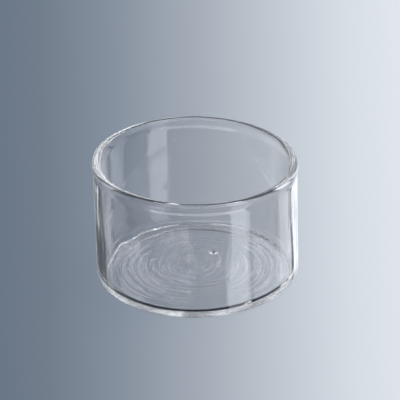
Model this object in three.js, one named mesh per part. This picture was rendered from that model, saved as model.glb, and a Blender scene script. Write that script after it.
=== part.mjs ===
// A small flat-bottomed evaporating dish in clear borosilicate glass: a short straight cylinder,
// melted and shaped in one piece, with a fire-polished bead round the mouth and no spout. The wall
// draws in slightly under the bead and spreads slightly at the foot.
// Millimetres, +Z up. The origin is on the dish's own axis, in the plane it stands on.
import * as THREE from "three";

// Driving dimensions
const DIAMETER = 50; // outside of the wall, at mid height
const HEIGHT = 30.7; // standing plane to the top of the bead
const WALL = 1.6;
const BASE = 1.0; // floor of the dish above the standing plane, near the wall
const NECK = 0.05; // how far the wall draws in under the bead
const FLARE = 0.25; // how far the wall spreads at the foot

// The bead that the flame leaves round the mouth
const BEAD = 2.1; // its full thickness, across the wall
const BEAD_PROUD = 0.2; // how far it stands out past the outside of the wall
const BEAD_RUN = 2.6; // height over which it dies away into the wall

// The bottom
const HEEL_RADIUS = 1.4; // outside corner between wall and underside
const CORNER_RADIUS = 1.8; // inside corner between wall and floor
const FOOT_WIDTH = 2.6; // flat ring that touches the table
const FOOT_SLOPE = 2.4; // run over which the underside first rises from that ring
const PUSH_UP = 0.25; // how far the middle of the underside is raised off the table
const SLOPE_SHARE = 0.75; // how much of that rise the slope beside the ring makes
const CROWN = 0.2; // how far the middle of the floor is raised above its edge

// Fineness of the faceted solid
const SECTORS = 96; // round the axis
const ARC_STEPS = 6; // along each curved stretch of the outline

const outside = DIAMETER / 2;
const inside = outside - WALL;
const beadRadius = BEAD / 2;
const beadCentre = outside + BEAD_PROUD - beadRadius;
const beadTop = HEIGHT - beadRadius; // height of the bead's centre
const beadFoot = beadTop - BEAD_RUN;
const heel = outside + FLARE;
const corner = inside + FLARE;
const neckOutside = outside - NECK;
const neckInside = inside - NECK;
const footOuter = heel - HEEL_RADIUS;
const footInner = footOuter - FOOT_WIDTH;
const floorEdge = corner - CORNER_RADIUS;

// The half section of the glass, from the middle of the underside round to the middle of the floor.
function halfSection() {
  const path = new THREE.Path();
  path.moveTo(0, PUSH_UP);
  const slopeTop = SLOPE_SHARE * PUSH_UP;
  const slopeStart = footInner - FOOT_SLOPE;
  const slopeMiddle = footInner - FOOT_SLOPE / 2;
  path.quadraticCurveTo(slopeStart / 2, PUSH_UP, slopeStart, slopeTop);
  path.bezierCurveTo(slopeMiddle, slopeTop, slopeMiddle, 0, footInner, 0);
  path.lineTo(footOuter, 0);
  path.absarc(footOuter, HEEL_RADIUS, HEEL_RADIUS, -Math.PI / 2, 0);
  path.lineTo(neckOutside, beadFoot);
  blend(path, neckOutside, beadFoot, beadCentre + beadRadius, beadTop);
  path.absarc(beadCentre, beadTop, beadRadius, 0, Math.PI);
  blend(path, beadCentre - beadRadius, beadTop, neckInside, beadFoot);
  path.lineTo(corner, BASE + CORNER_RADIUS);
  path.absarc(floorEdge, BASE + CORNER_RADIUS, CORNER_RADIUS, 0, -Math.PI / 2, true);
  path.quadraticCurveTo(floorEdge / 2, BASE + CROWN, 0, BASE + CROWN);
  return path;
}

// An S-shaped run between two upright tangents.
function blend(path, fromRadius, fromHeight, toRadius, toHeight) {
  const middle = (fromHeight + toHeight) / 2;
  path.bezierCurveTo(fromRadius, middle, toRadius, middle, toRadius, toHeight);
}

// Points along the outline. Curves are divided and straight lines are not.
function outline(path) {
  const points = [];
  for (const curve of path.curves) {
    const steps = curve.isLineCurve ? 1 : ARC_STEPS;
    const stretch = curve.getPoints(steps);
    for (const point of stretch) {
      const last = points.at(-1);
      if (!last || last.distanceTo(point) > 1e-6) points.push(point);
    }
  }
  return points;
}

function dishGeometry() {
  const geometry = new THREE.LatheGeometry(outline(halfSection()), SECTORS);
  geometry.rotateX(Math.PI / 2); // the lathe turns about Y, and the dish stands along Z
  return geometry;
}

const clearGlass = new THREE.MeshStandardMaterial({
  color: new THREE.Color(0.86, 0.9, 0.93),
  roughness: 0.03,
  metalness: 0,
  transparent: true,
  opacity: 0.35,
});

const dish = new THREE.Mesh(dishGeometry(), clearGlass);
dish.name = "glass_dish";

const part = new THREE.Group();
part.add(dish);

export default part;
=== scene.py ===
"""A small flat-bottomed evaporating dish in clear borosilicate glass, on a studio floor with painted
light, darker on the left and paler on the right.

The dish is one piece of glass: a drawn tube closed by a flat bottom, with a fire-polished bead
round the mouth. Everything is in metres, in the CAD model's frame.
"""

import math

import bpy
import numpy as np
from mathutils import Matrix, Vector


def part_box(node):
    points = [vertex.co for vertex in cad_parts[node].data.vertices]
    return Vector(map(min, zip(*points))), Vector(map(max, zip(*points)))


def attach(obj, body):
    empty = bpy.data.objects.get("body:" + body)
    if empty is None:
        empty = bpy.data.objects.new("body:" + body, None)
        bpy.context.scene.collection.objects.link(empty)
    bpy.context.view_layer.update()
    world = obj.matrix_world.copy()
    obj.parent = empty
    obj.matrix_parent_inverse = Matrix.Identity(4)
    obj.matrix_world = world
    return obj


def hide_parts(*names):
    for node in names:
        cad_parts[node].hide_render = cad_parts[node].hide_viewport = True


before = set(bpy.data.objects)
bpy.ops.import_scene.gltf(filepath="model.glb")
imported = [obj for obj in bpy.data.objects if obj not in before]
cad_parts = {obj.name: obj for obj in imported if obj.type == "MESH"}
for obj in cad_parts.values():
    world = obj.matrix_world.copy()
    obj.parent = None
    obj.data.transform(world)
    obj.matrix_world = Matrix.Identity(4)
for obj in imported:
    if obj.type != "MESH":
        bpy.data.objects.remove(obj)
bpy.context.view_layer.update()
MM = 0.001

# The half section of the glass. The overall size comes from the CAD node.
LOWEST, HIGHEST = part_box("glass_dish")
HEIGHT = HIGHEST.z - LOWEST.z
WALL = 1.6 * MM
BASE = 1.0 * MM
BEAD = 2.1 * MM
BEAD_PROUD = 0.2 * MM  # how far the bead stands out past the outside of the wall
BEAD_RUN = 2.6 * MM  # height over which the bead dies away into the wall
HEEL_RADIUS = 1.4 * MM
CORNER_RADIUS = 1.8 * MM
FOOT_WIDTH = 2.6 * MM
FOOT_STEP = 2.4 * MM  # the slope between the foot and the raised middle
PUSH_UP = 0.25 * MM  # how far the middle of the underside is off the table
SLOPE_SHARE = 0.75  # how much of that rise the slope makes
CROWN = 0.2 * MM  # how far the middle of the floor is raised above its edge
NECK = 0.05 * MM  # how far the wall draws in under the bead
FLARE = 0.25 * MM  # how far it spreads at the foot, which is the widest place

OUTSIDE = (HIGHEST.x - LOWEST.x) / 2 - FLARE
INSIDE = OUTSIDE - WALL
BEAD_RADIUS = BEAD / 2
BEAD_CENTRE = OUTSIDE + BEAD_PROUD - BEAD_RADIUS
BEAD_TOP = HEIGHT - BEAD_RADIUS
BEAD_FOOT = BEAD_TOP - BEAD_RUN
FOOT_OUTER = OUTSIDE + FLARE - HEEL_RADIUS
FOOT_INNER = FOOT_OUTER - FOOT_WIDTH
FLOOR_EDGE = INSIDE + FLARE - CORNER_RADIUS

SECTORS = 320  # steps round the axis
STEPS = {  # steps along each stretch of the outline
    "underside": 46,
    "step": 10,
    "foot": 4,
    "heel": 16,
    "outer": 18,
    "outer_blend": 12,
    "bead": 36,
    "inner_blend": 12,
    "inner": 18,
    "corner": 18,
    "floor": 108,
}

# The unevenness of a dish worked by hand in a flame
RIM_TILT = -0.018  # slope of the mouth towards the right, where it is lower
RIM_OVAL = 0.3 * MM
OVAL_TURN = math.radians(140)
WALL_WAVES = [  # height of the wave, waves round the dish, waves up the wall, phase
    (0.050 * MM, 2, 0.0, 0.6),
    (0.035 * MM, 5, 0.6, 2.1),
    (0.022 * MM, 11, 0.9, 4.0),
    (0.010 * MM, 23, 0.5, 1.3),
    (0.012 * MM, 4, 2.6, 5.2),
]
SWIRLS = [  # height, distance between rings, arms of the spiral, phase
    (0.021 * MM, 1.65 * MM, 1, 0.0),
    (0.018 * MM, 2.40 * MM, -2, 1.7),
    (0.010 * MM, 1.15 * MM, 3, 4.1),
]
PIP_PLACE = (4.1 * MM, 6.3 * MM)
PIP_SIZE = 0.75 * MM
PIP_HEIGHT = 0.5 * MM
CURL = [(4.6 * MM, 5.0 * MM), (5.5 * MM, 3.9 * MM), (5.8 * MM, 2.0 * MM), (5.3 * MM, 0.2 * MM)]
CURL_WIDTH = 0.32 * MM
CURL_HEIGHT = 0.08 * MM
LUMP_TURN = math.radians(-59)  # a small lump in the inside corner
LUMP_WIDTH = 0.7 * MM
LUMP_HEIGHT = 0.7 * MM
LUMP_PLACE = 0.4  # its middle and its half height, as shares of the corner's radius
WAVES_START = 0.5 * MM  # the wall's waves grow from here up to WAVES_FULL
WAVES_FULL = 5 * MM
FACE_SHIFT = 2.4  # how far the waves of the two faces are out of step
OVAL_START = 0.35  # the share of the height where the mouth's unevenness starts
SWIRL_EYE = (0.3 * MM, 1.5 * MM)  # the swirl fades out towards the middle between these radii
SWIRL_FADE = 4 * MM  # and over this width at the edge of the floor
SWIRL_CHANGE = 0.4  # how much its strength changes from place to place
SWIRL_PATCHES = 2  # strong and weak places on the way round it

# The glass
IOR = 1.473
TINTS = [(0.3, (0.882, 0.878, 0.880)), (0.7, (0.898, 0.893, 0.900))]
CLOUD_SIZE = (9 * MM, 9 * MM, 14 * MM)
STRIAE_SIZE = (2.2 * MM, 2.2 * MM, 45 * MM)
STRIAE_DEPTH = 0.02 * MM
SHADOW_TINT = (0.95, 0.96, 0.97, 1)
SCUFF_REACH = (0.03 * MM, 0.12 * MM)  # scuffs fade out between these heights
SCUFF_SIZE = (0.35 * MM, 0.35 * MM, 0.35 * MM)
SCUFF_NOISE = (0.52, 0.68)
SCUFF_ROUGHNESS = 0.35

# The camera
CAMERA_ELEVATION = math.radians(27.6)
CAMERA_DISTANCE = 500 * MM
CAMERA_ROLL = math.radians(-1.4)
CAMERA_LENS = 181.3
CAMERA_SENSOR = 36  # its width, in the lens's unit
CAMERA_CLIP = (10 * MM, 20)
AIM_RIGHT = 1.0 * MM  # from MIDDLE to the picture's centre, as the camera sees it
AIM_UP = 3.77 * MM
MIDDLE = Vector((0, 0, 15 * MM))  # near the dish's middle; the camera and cards are placed from it

# The floor: paper with painted light on it, blue grey on the left rising to pale on the right as if lit
# from the right, and an even tone further out
PAINTED_LIGHT_REACH = 60 * MM
PAINTED_LIGHT_STOPS = [
    (0.00, (0.115, 0.150, 0.205)),
    (0.20, (0.157, 0.195, 0.246)),
    (0.35, (0.228, 0.267, 0.327)),
    (0.50, (0.340, 0.380, 0.437)),
    (0.80, (0.616, 0.663, 0.718)),
    (1.00, (0.740, 0.770, 0.810)),
]
FAN_NEAR = 1.06  # the painted light spreads out like a fan towards the back
FAN_RUN = 540 * MM
FADE_START = 190 * MM
FADE_END = 330 * MM
FAR_TONE = (0.860, 0.880, 0.905)
FLOOR_SIZE = 3
FLOOR_SIDES = 128
FLOOR_DROP = 0.02 * MM  # a hair's gap, so that the foot and the paper don't lie in one plane

# The studio. The key and the ambient light are for the paper. The cards, the rows of lights and
# the sky are for the glass.
KEY_PLACE = (500 * MM, 200 * MM, 1500 * MM)
KEY_SIZE = 900 * MM
KEY = 5.5
AMBIENT = (0.6, 0.6, 0.6, 1)  # what the paper gets from all round
CARD_COLOUR = (0.94, 0.98, 1.03)
FAR = 600 * MM
NEAR = 340 * MM
CARDS = [  # name, azimuths, elevations, brightness, distance
    ("window", (35, 59), (-45, -10), 2.4, NEAR),
    ("window_above", (30, 90), (18, 33), 1.8, FAR),
    ("white_card_right", (140, 175), (-37, -8), 1.05, FAR),
    ("side_card_right", (105, 131), (-37, -8), 1.05, FAR),
    ("slit_left", (192, 198), (-37, -8), 0.3, FAR),
    ("card_left", (226, 239), (-37, -8), 0.1, FAR),
    ("card_left_edge", (239, 250), (-37, -8), 0.5, FAR),
    ("strip_behind", (181.4, 183.2), (18, 38), 1.2, FAR),
    ("panel_behind_left", (187, 195), (16, 40), 2.0, FAR),
    ("panel_behind_right", (165, 173), (16, 40), 2.0, FAR),
]
RING = [0.4, 1.2, 3.8, 3.8, 1.2, 0.4]  # lights over the front of the dish, from left to right
RING_ELEVATIONS = (34, 50)
LOW_COUNT = 3  # lights under the front of the dish
LOW_ELEVATIONS = (-48, -41)
LOW = 3.0
LIGHT_SPAN = 40  # how many degrees each light of those two rows takes
SKY = [  # elevation, colour
    (-90, (0.02, 0.02, 0.03)),
    (-60, (0.02, 0.02, 0.03)),
    (-45, (0.06, 0.07, 0.08)),
    (-20, (0.11, 0.13, 0.15)),
    (-8, (0.22, 0.24, 0.27)),
    (-4, (0.70, 0.73, 0.76)),
    (0, (0.70, 0.73, 0.76)),
    (3, (0.10, 0.11, 0.13)),
    (12, (0.10, 0.11, 0.13)),
    (20, (0.45, 0.47, 0.50)),
    (36, (0.45, 0.47, 0.50)),
    (45, (0.15, 0.16, 0.18)),
    (60, (0.32, 0.33, 0.35)),
    (90, (0.05, 0.05, 0.06)),
]
LIGHT_BOUNCES = 128
CLEAR_BOUNCES = 32  # through surfaces that are simply transparent


# ---------------------------------------------------------------- outline of the glass

def straight(start, end, steps):
    """Points from start towards end, without the last."""
    t = np.linspace(0, 1, steps, endpoint=False)[:, None]
    return np.array(start) * (1 - t) + np.array(end) * t


def arc(centre, radius, start, end, steps):
    """Points on a circle between two angles, without the last."""
    a = np.linspace(start, end, steps, endpoint=False)
    return np.stack([centre[0] + radius * np.cos(a), centre[1] + radius * np.sin(a)], 1)


def bezier(points, steps):
    """Points on a quadratic or cubic curve, without the last."""
    t = np.linspace(0, 1, steps, endpoint=False)[:, None]
    order = len(points) - 1
    total = 0
    for k, p in enumerate(points):
        total = total + math.comb(order, k) * (1 - t) ** (order - k) * t ** k * np.array(p)
    return total


def blend(start, end, steps):
    """An S-shaped run between two upright tangents."""
    middle = (start[1] + end[1]) / 2
    return bezier([start, (start[0], middle), (end[0], middle), end], steps)


def half_section():
    """The stretches of the outline, from the middle of the underside to the middle of the floor."""
    quarter = math.pi / 2
    bead_out = (BEAD_CENTRE + BEAD_RADIUS, BEAD_TOP)
    bead_in = (BEAD_CENTRE - BEAD_RADIUS, BEAD_TOP)
    wall_out = (OUTSIDE - NECK, BEAD_FOOT)
    wall_in = (INSIDE - NECK, BEAD_FOOT)
    heel_top = (OUTSIDE + FLARE, HEEL_RADIUS)
    corner_top = (INSIDE + FLARE, BASE + CORNER_RADIUS)
    step_top = (FOOT_INNER - FOOT_STEP, SLOPE_SHARE * PUSH_UP)
    step_middle = FOOT_INNER - FOOT_STEP / 2
    step = [step_top, (step_middle, step_top[1]), (step_middle, 0), (FOOT_INNER, 0)]
    floor_mid = (0, BASE + CROWN)
    return {
        "underside": bezier([(0, PUSH_UP), (step_top[0] / 2, PUSH_UP), step_top], STEPS["underside"]),
        "step": bezier(step, STEPS["step"]),
        "foot": straight((FOOT_INNER, 0), (FOOT_OUTER, 0), STEPS["foot"]),
        "heel": arc((FOOT_OUTER, HEEL_RADIUS), HEEL_RADIUS, -quarter, 0, STEPS["heel"]),
        "outer": straight(heel_top, wall_out, STEPS["outer"]),
        "outer_blend": blend(wall_out, bead_out, STEPS["outer_blend"]),
        "bead": arc((BEAD_CENTRE, BEAD_TOP), BEAD_RADIUS, 0, 2 * quarter, STEPS["bead"]),
        "inner_blend": blend(bead_in, wall_in, STEPS["inner_blend"]),
        "inner": straight(wall_in, corner_top, STEPS["inner"]),
        "corner": arc((FLOOR_EDGE, BASE + CORNER_RADIUS), CORNER_RADIUS, 0, -quarter, STEPS["corner"]),
        "floor": bezier([(FLOOR_EDGE, BASE), (FLOOR_EDGE / 2, BASE + CROWN), floor_mid], STEPS["floor"]),
    }


def section_normals(outline):
    """Unit vectors out of the glass, one for each point of the outline."""
    run = np.gradient(outline, axis=0)
    run /= np.linalg.norm(run, axis=1, keepdims=True)
    return np.stack([run[:, 1], -run[:, 0]], 1)


def smooth(value, low, high):
    """Rises from 0 at low to 1 at high, with level ends."""
    t = np.clip((value - low) / (high - low), 0, 1)
    return t * t * (3 - 2 * t)


# ---------------------------------------------------------------- unevenness of the glass

def wall_waves(angle, height, turn):
    """Long waves in a drawn wall; turn tells one face from the other."""
    total = 0
    for amount, around, up, phase in WALL_WAVES:
        climb = 2 * math.pi * up * height / HEIGHT
        total = total + amount * np.sin(around * angle + climb + phase + turn)
    return total


def floor_swirl(radius, angle):
    """Faint rings left by the tool that pressed the bottom, fading at the middle and the edge."""
    total = 0
    for amount, pitch, arms, phase in SWIRLS:
        ring = np.sin(2 * math.pi * radius / pitch + arms * angle + phase)
        place = SWIRL_PATCHES * angle + 3 * math.pi * radius / FLOOR_EDGE + phase
        strength = 1 - SWIRL_CHANGE + SWIRL_CHANGE * np.sin(place)
        total = total + amount * ring * strength
    return total * smooth(radius, *SWIRL_EYE) * smooth(radius, FLOOR_EDGE, FLOOR_EDGE - SWIRL_FADE)


def distance_to_curl(x, y):
    """How far each point of the floor is from the curl."""
    nearest = np.full(x.shape, np.inf)
    for (ax, ay), (bx, by) in zip(CURL, CURL[1:]):
        dx, dy = bx - ax, by - ay
        t = np.clip(((x - ax) * dx + (y - ay) * dy) / (dx * dx + dy * dy), 0, 1)
        nearest = np.minimum(nearest, np.hypot(x - ax - t * dx, y - ay - t * dy))
    return nearest


def floor_marks(radius, angle):
    """The height of the swirl, the pip and the curl beside it."""
    x = radius * np.cos(angle)
    y = radius * np.sin(angle)
    pip = np.exp(-((x - PIP_PLACE[0]) ** 2 + (y - PIP_PLACE[1]) ** 2) / PIP_SIZE ** 2)
    curl = np.exp(-(distance_to_curl(x, y) / CURL_WIDTH) ** 2)
    return floor_swirl(radius, angle) + PIP_HEIGHT * pip + CURL_HEIGHT * curl


def corner_lump(angle, height):
    """A small lump in the inside corner, at the front."""
    along = np.remainder(angle - LUMP_TURN + math.pi, 2 * math.pi) - math.pi
    reach = LUMP_PLACE * CORNER_RADIUS
    share = 1 - smooth(np.abs(height - BASE - reach), 0, reach)
    return LUMP_HEIGHT * np.exp(-(along * FLOOR_EDGE / LUMP_WIDTH) ** 2) * share


def glass_points():
    """Every ring of the dish, and the two points on the axis."""
    stretches = half_section()
    outline = np.concatenate(list(stretches.values()))
    names = np.repeat(list(stretches), [len(part) for part in stretches.values()])
    normals = section_normals(outline)
    angle = np.linspace(0, 2 * math.pi, SECTORS, endpoint=False)[None, :]
    radius = outline[:, :1]
    height = outline[:, 1:]
    on_wall = np.isin(names, ["outer", "outer_blend", "bead", "inner_blend", "inner"])[:, None]
    inside = np.isin(names, ["inner_blend", "inner", "corner", "floor"])[:, None]
    in_corner = (names == "corner")[:, None]
    on_floor = (names == "floor")[:, None]
    lift = np.where(on_wall | inside, wall_waves(angle, height, FACE_SHIFT * inside), 0)
    lift = lift * smooth(height, WAVES_START, WAVES_FULL)
    lift = lift + np.where(on_floor, floor_marks(radius, angle), 0)
    lift = lift + np.where(in_corner, corner_lump(angle, height), 0)
    r = radius + lift * normals[:, :1]
    z = height + lift * normals[:, 1:]
    upper = smooth(z, OVAL_START * HEIGHT, HEIGHT)
    r = r * (1 + upper * RIM_OVAL / OUTSIDE * np.cos(2 * (angle - OVAL_TURN)))
    x = r * np.cos(angle)
    z = z + upper * RIM_TILT * x
    points = np.stack([x, r * np.sin(angle), z], 2)[1:]
    centres = [(0, 0, PUSH_UP), (0, 0, BASE + CROWN)]
    return np.concatenate([points.reshape(-1, 3), centres]), len(outline) - 1


def glass_mesh():
    """The outline turned round the axis, as one closed mesh."""
    points, rings = glass_points()
    bottom, top = len(points) - 2, len(points) - 1
    last = (rings - 1) * SECTORS
    faces = []
    for j in range(SECTORS):
        k = (j + 1) % SECTORS
        faces.append((bottom, k, j))
        faces.append((top, last + j, last + k))
        for ring in range(0, last, SECTORS):
            faces.append((ring + j, ring + k, ring + SECTORS + k, ring + SECTORS + j))
    mesh = bpy.data.meshes.new("evaporating_dish")
    mesh.from_pydata(points.tolist(), [], faces)
    mesh.validate()
    mesh.shade_smooth()
    return mesh


# ---------------------------------------------------------------- materials

def new_material(name):
    material = bpy.data.materials.new(name)
    material.use_nodes = True
    material.node_tree.nodes.clear()
    return material, material.node_tree.nodes, material.node_tree.links


def noise(nodes, links, place, sizes, detail=2.0):
    """Noise whose features have the given sizes along X, Y and Z."""
    stretch = nodes.new("ShaderNodeMapping")
    stretch.inputs["Scale"].default_value = [1 / size for size in sizes]
    texture = nodes.new("ShaderNodeTexNoise")
    texture.inputs["Scale"].default_value = 1
    texture.inputs["Detail"].default_value = detail
    links.new(place.outputs["Object"], stretch.inputs["Vector"])
    links.new(stretch.outputs["Vector"], texture.inputs["Vector"])
    return texture.outputs["Fac"]


def map_range(nodes, links, value, from_range, to_range):
    node = nodes.new("ShaderNodeMapRange")
    node.inputs["From Min"].default_value, node.inputs["From Max"].default_value = from_range
    node.inputs["To Min"].default_value, node.inputs["To Max"].default_value = to_range
    links.new(value, node.inputs["Value"])
    return node.outputs["Result"]


def multiply(nodes, links, first, second):
    node = nodes.new("ShaderNodeMath")
    node.operation = "MULTIPLY"
    links.new(first, node.inputs[0])
    links.new(second, node.inputs[1])
    return node.outputs["Value"]


def glass_tint(nodes, links, place, shader):
    """The faint, cloudy difference in tint of melted glass."""
    cloud = noise(nodes, links, place, CLOUD_SIZE)
    tint = nodes.new("ShaderNodeValToRGB")
    fill_ramp(tint, TINTS)
    links.new(cloud, tint.inputs["Fac"])
    links.new(tint.outputs["Color"], shader.inputs["Base Color"])


def glass_striae(nodes, links, place, shader):
    """Drawn tube has very fine lines along its length."""
    lines = noise(nodes, links, place, STRIAE_SIZE, detail=3.0)
    bump = nodes.new("ShaderNodeBump")
    bump.inputs["Strength"].default_value = 1
    bump.inputs["Distance"].default_value = STRIAE_DEPTH
    links.new(lines, bump.inputs["Height"])
    links.new(bump.outputs["Normal"], shader.inputs["Normal"])


def glass_wear(nodes, links, place, shader):
    """Clear everywhere, with scuffs where the foot has slid on benches."""
    split = nodes.new("ShaderNodeSeparateXYZ")
    links.new(place.outputs["Object"], split.inputs[0])
    near_table = map_range(nodes, links, split.outputs["Z"], SCUFF_REACH, (1, 0))
    speckle = noise(nodes, links, place, SCUFF_SIZE, detail=4.0)
    scuffs = map_range(nodes, links, speckle, SCUFF_NOISE, (0, SCUFF_ROUGHNESS))
    links.new(multiply(nodes, links, near_table, scuffs), shader.inputs["Roughness"])


def clear_glass():
    """Clear glass. Light for the floor passes straight through it, with a slight loss."""
    material, nodes, links = new_material("clear_borosilicate_glass")
    shader = nodes.new("ShaderNodeBsdfPrincipled")
    shader.inputs["Transmission Weight"].default_value = 1
    shader.inputs["IOR"].default_value = IOR
    place = nodes.new("ShaderNodeTexCoord")
    glass_tint(nodes, links, place, shader)
    glass_striae(nodes, links, place, shader)
    glass_wear(nodes, links, place, shader)
    clear = nodes.new("ShaderNodeBsdfTransparent")
    clear.inputs["Color"].default_value = SHADOW_TINT
    path = nodes.new("ShaderNodeLightPath")
    mix = nodes.new("ShaderNodeMixShader")
    out = nodes.new("ShaderNodeOutputMaterial")
    links.new(path.outputs["Is Shadow Ray"], mix.inputs["Fac"])
    links.new(shader.outputs["BSDF"], mix.inputs[1])
    links.new(clear.outputs["BSDF"], mix.inputs[2])
    links.new(mix.outputs["Shader"], out.inputs["Surface"])
    return material


def painted_light_across(nodes, links, place):
    """Painted light across the paper: dark on the left and pale on the right, as if lit from the right.
    """
    split = nodes.new("ShaderNodeSeparateXYZ")
    spread = nodes.new("ShaderNodeMath")
    spread.operation = "MULTIPLY_ADD"
    spread.inputs[1].default_value = 1 / FAN_RUN
    spread.inputs[2].default_value = FAN_NEAR
    fan = nodes.new("ShaderNodeMath")
    fan.operation = "DIVIDE"
    across = nodes.new("ShaderNodeMapRange")
    across.inputs["From Min"].default_value = -PAINTED_LIGHT_REACH
    across.inputs["From Max"].default_value = PAINTED_LIGHT_REACH
    painted_light_ramp = nodes.new("ShaderNodeValToRGB")
    fill_ramp(painted_light_ramp, PAINTED_LIGHT_STOPS)
    links.new(place.outputs["Object"], split.inputs[0])
    links.new(split.outputs["Y"], spread.inputs[0])
    links.new(split.outputs["X"], fan.inputs[0])
    links.new(spread.outputs["Value"], fan.inputs[1])
    links.new(fan.outputs["Value"], across.inputs["Value"])
    links.new(across.outputs["Result"], painted_light_ramp.inputs["Fac"])
    return painted_light_ramp.outputs["Color"]


def paper_tone_and_painted_light(nodes, links):
    """The paper's colour: painted light near the dish, dark on the left and pale on the right, fading
    into one even tone further out.
    """
    place = nodes.new("ShaderNodeTexCoord")
    length = nodes.new("ShaderNodeVectorMath")
    length.operation = "LENGTH"
    fade = nodes.new("ShaderNodeMapRange")
    fade.interpolation_type = "SMOOTHSTEP"
    fade.inputs["From Min"].default_value = FADE_START
    fade.inputs["From Max"].default_value = FADE_END
    colour = nodes.new("ShaderNodeMix")
    colour.data_type = "RGBA"
    colour.inputs["B"].default_value = (*FAR_TONE, 1)
    links.new(place.outputs["Object"], length.inputs[0])
    links.new(length.outputs["Value"], fade.inputs["Value"])
    links.new(fade.outputs["Result"], colour.inputs["Factor"])
    links.new(painted_light_across(nodes, links, place), colour.inputs["A"])
    return colour.outputs["Result"]


def floor_paper():
    """Paper with painted light on it, darker on the left and paler on the right. A ray that the glass
    has reflected passes it, as if the dish stood on a clear table, and meets the cards below."""
    material, nodes, links = new_material("floor_paper")
    paper = nodes.new("ShaderNodeBsdfDiffuse")
    clear = nodes.new("ShaderNodeBsdfTransparent")
    path = nodes.new("ShaderNodeLightPath")
    limit = nodes.new("ShaderNodeMath")
    limit.operation = "MINIMUM"
    limit.inputs[1].default_value = 1
    mix = nodes.new("ShaderNodeMixShader")
    out = nodes.new("ShaderNodeOutputMaterial")
    links.new(paper_tone_and_painted_light(nodes, links), paper.inputs["Color"])
    links.new(path.outputs["Glossy Depth"], limit.inputs[0])
    links.new(limit.outputs["Value"], mix.inputs["Fac"])
    links.new(paper.outputs["BSDF"], mix.inputs[1])
    links.new(clear.outputs["BSDF"], mix.inputs[2])
    links.new(mix.outputs["Shader"], out.inputs["Surface"])
    return material


def fill_ramp(ramp, stops):
    """Sets a colour ramp's stops, each (position from 0 to 1, colour)."""
    elements = ramp.color_ramp.elements
    while len(elements) < len(stops):
        elements.new(0.5)
    for element, (position, colour) in zip(elements, stops):
        element.position = position
        element.color = (*colour, 1)


# ---------------------------------------------------------------- the dish

def make_dish():
    dish = bpy.data.objects.new("evaporating_dish", glass_mesh())
    bpy.context.scene.collection.objects.link(dish)
    dish.data.materials.append(clear_glass())
    dish.visible_diffuse = False
    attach(dish, "root")
    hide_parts("glass_dish")


# ---------------------------------------------------------------- the studio

def make_floor():
    bpy.ops.mesh.primitive_circle_add(
        vertices=FLOOR_SIDES, radius=FLOOR_SIZE, fill_type="NGON", location=(0, 0, -FLOOR_DROP))
    floor = bpy.context.object
    floor.name = "studio_floor"
    floor.data.materials.append(floor_paper())


def area_light(name, place, target, width, height, radiance, colour=(1, 1, 1)):
    """A rectangular light; radiance is its brightness, on a scale where white paper is near 1."""
    light = bpy.data.lights.new(name, "AREA")
    light.shape = "RECTANGLE"
    light.size = width
    light.size_y = height
    light.energy = radiance * math.pi * width * height
    light.color = colour
    lamp = bpy.data.objects.new(name, light)
    turn = (Vector(target) - Vector(place)).to_track_quat("-Z", "Y")
    lamp.matrix_world = Matrix.Translation(place) @ turn.to_matrix().to_4x4()
    bpy.context.scene.collection.objects.link(lamp)
    lamp.visible_camera = False
    return lamp


def direction(azimuth, elevation):
    """A unit vector; azimuth 0 points from the dish to the camera, and 90 to the camera's right."""
    a = math.radians(azimuth)
    e = math.radians(elevation)
    return Vector((math.sin(a) * math.cos(e), -math.cos(a) * math.cos(e), math.sin(e)))


def card(name, azimuths, elevations, radiance, distance):
    """A bright card that only the glass sees, between two azimuths and two elevations."""
    azimuth = sum(azimuths) / 2
    elevation = sum(elevations) / 2
    half_turn = math.radians(azimuths[1] - azimuths[0]) / 2
    half_rise = math.radians(elevations[1] - elevations[0]) / 2
    width = 2 * distance * math.cos(math.radians(elevation)) * math.tan(half_turn)
    height = 2 * distance * math.tan(half_rise)
    place = MIDDLE + direction(azimuth, elevation) * distance
    lamp = area_light(name, place, MIDDLE, width, height, radiance, CARD_COLOUR)
    lamp.visible_diffuse = False


def row_of_cards(name, brightness, elevations):
    """Cards side by side, the row's middle towards the camera."""
    for k, radiance in enumerate(brightness):
        start = (k - len(brightness) / 2) * LIGHT_SPAN
        card(f"{name}_{k + 1}", (start, start + LIGHT_SPAN), elevations, radiance, FAR)


def make_lights():
    key = area_light("key", KEY_PLACE, (0, 0, 0), KEY_SIZE, KEY_SIZE, KEY)
    key.visible_glossy = False
    key.visible_transmission = False
    for values in CARDS:
        card(*values)
    row_of_cards("ring_light", RING, RING_ELEVATIONS)
    row_of_cards("low_light", LOW_COUNT * [LOW], LOW_ELEVATIONS)


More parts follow.
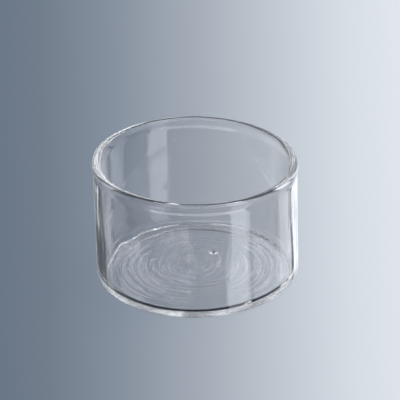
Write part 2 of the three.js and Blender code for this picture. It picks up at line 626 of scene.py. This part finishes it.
def make_world():
    """A sky that changes with elevation for the glass, and an even one for the paper."""
    world = bpy.data.worlds.new("studio")
    world.use_nodes = True
    world.cycles.sampling_method = "NONE"
    nodes, links = world.node_tree.nodes, world.node_tree.links
    nodes.clear()
    seen = nodes.new("ShaderNodeBackground")
    ambient = nodes.new("ShaderNodeBackground")
    ambient.inputs["Color"].default_value = AMBIENT
    coordinates = nodes.new("ShaderNodeTexCoord")
    split = nodes.new("ShaderNodeSeparateXYZ")
    ramp = nodes.new("ShaderNodeValToRGB")
    scale = nodes.new("ShaderNodeMapRange")
    scale.inputs["From Min"].default_value = -1
    scale.inputs["From Max"].default_value = 1
    links.new(coordinates.outputs["Generated"], split.inputs[0])
    links.new(split.outputs["Z"], scale.inputs["Value"])
    links.new(scale.outputs["Result"], ramp.inputs["Fac"])
    links.new(ramp.outputs["Color"], seen.inputs["Color"])
    fill_ramp(ramp, [((math.sin(math.radians(elevation)) + 1) / 2, colour) for elevation, colour in SKY])
    path = nodes.new("ShaderNodeLightPath")
    mix = nodes.new("ShaderNodeMixShader")
    out = nodes.new("ShaderNodeOutputWorld")
    links.new(path.outputs["Is Diffuse Ray"], mix.inputs["Fac"])
    links.new(seen.outputs["Background"], mix.inputs[1])
    links.new(ambient.outputs["Background"], mix.inputs[2])
    links.new(mix.outputs["Shader"], out.inputs["Surface"])
    bpy.context.scene.world = world


def make_camera():
    back = Vector((0, -math.cos(CAMERA_ELEVATION), math.sin(CAMERA_ELEVATION)))
    right = Vector((1, 0, 0))
    up = back.cross(right)
    aim = MIDDLE + AIM_RIGHT * right + AIM_UP * up
    camera = bpy.data.objects.new("camera", bpy.data.cameras.new("camera"))
    camera.data.sensor_width = CAMERA_SENSOR
    camera.data.lens = CAMERA_LENS
    camera.data.clip_start, camera.data.clip_end = CAMERA_CLIP
    axes = Matrix((right, up, back)).transposed().to_4x4()
    roll = Matrix.Rotation(CAMERA_ROLL, 4, "Z")
    camera.matrix_world = Matrix.Translation(aim + CAMERA_DISTANCE * back) @ axes @ roll
    bpy.context.scene.collection.objects.link(camera)
    bpy.context.scene.camera = camera


def set_light_paths():
    """Long paths, because glass passes light on many times."""
    cycles = bpy.context.scene.cycles
    cycles.max_bounces = LIGHT_BOUNCES
    cycles.transmission_bounces = LIGHT_BOUNCES
    cycles.glossy_bounces = LIGHT_BOUNCES
    cycles.transparent_max_bounces = CLEAR_BOUNCES
    bpy.context.scene.view_settings.view_transform = "Standard"


make_camera()
make_dish()
make_floor()
make_lights()
make_world()
set_light_paths()
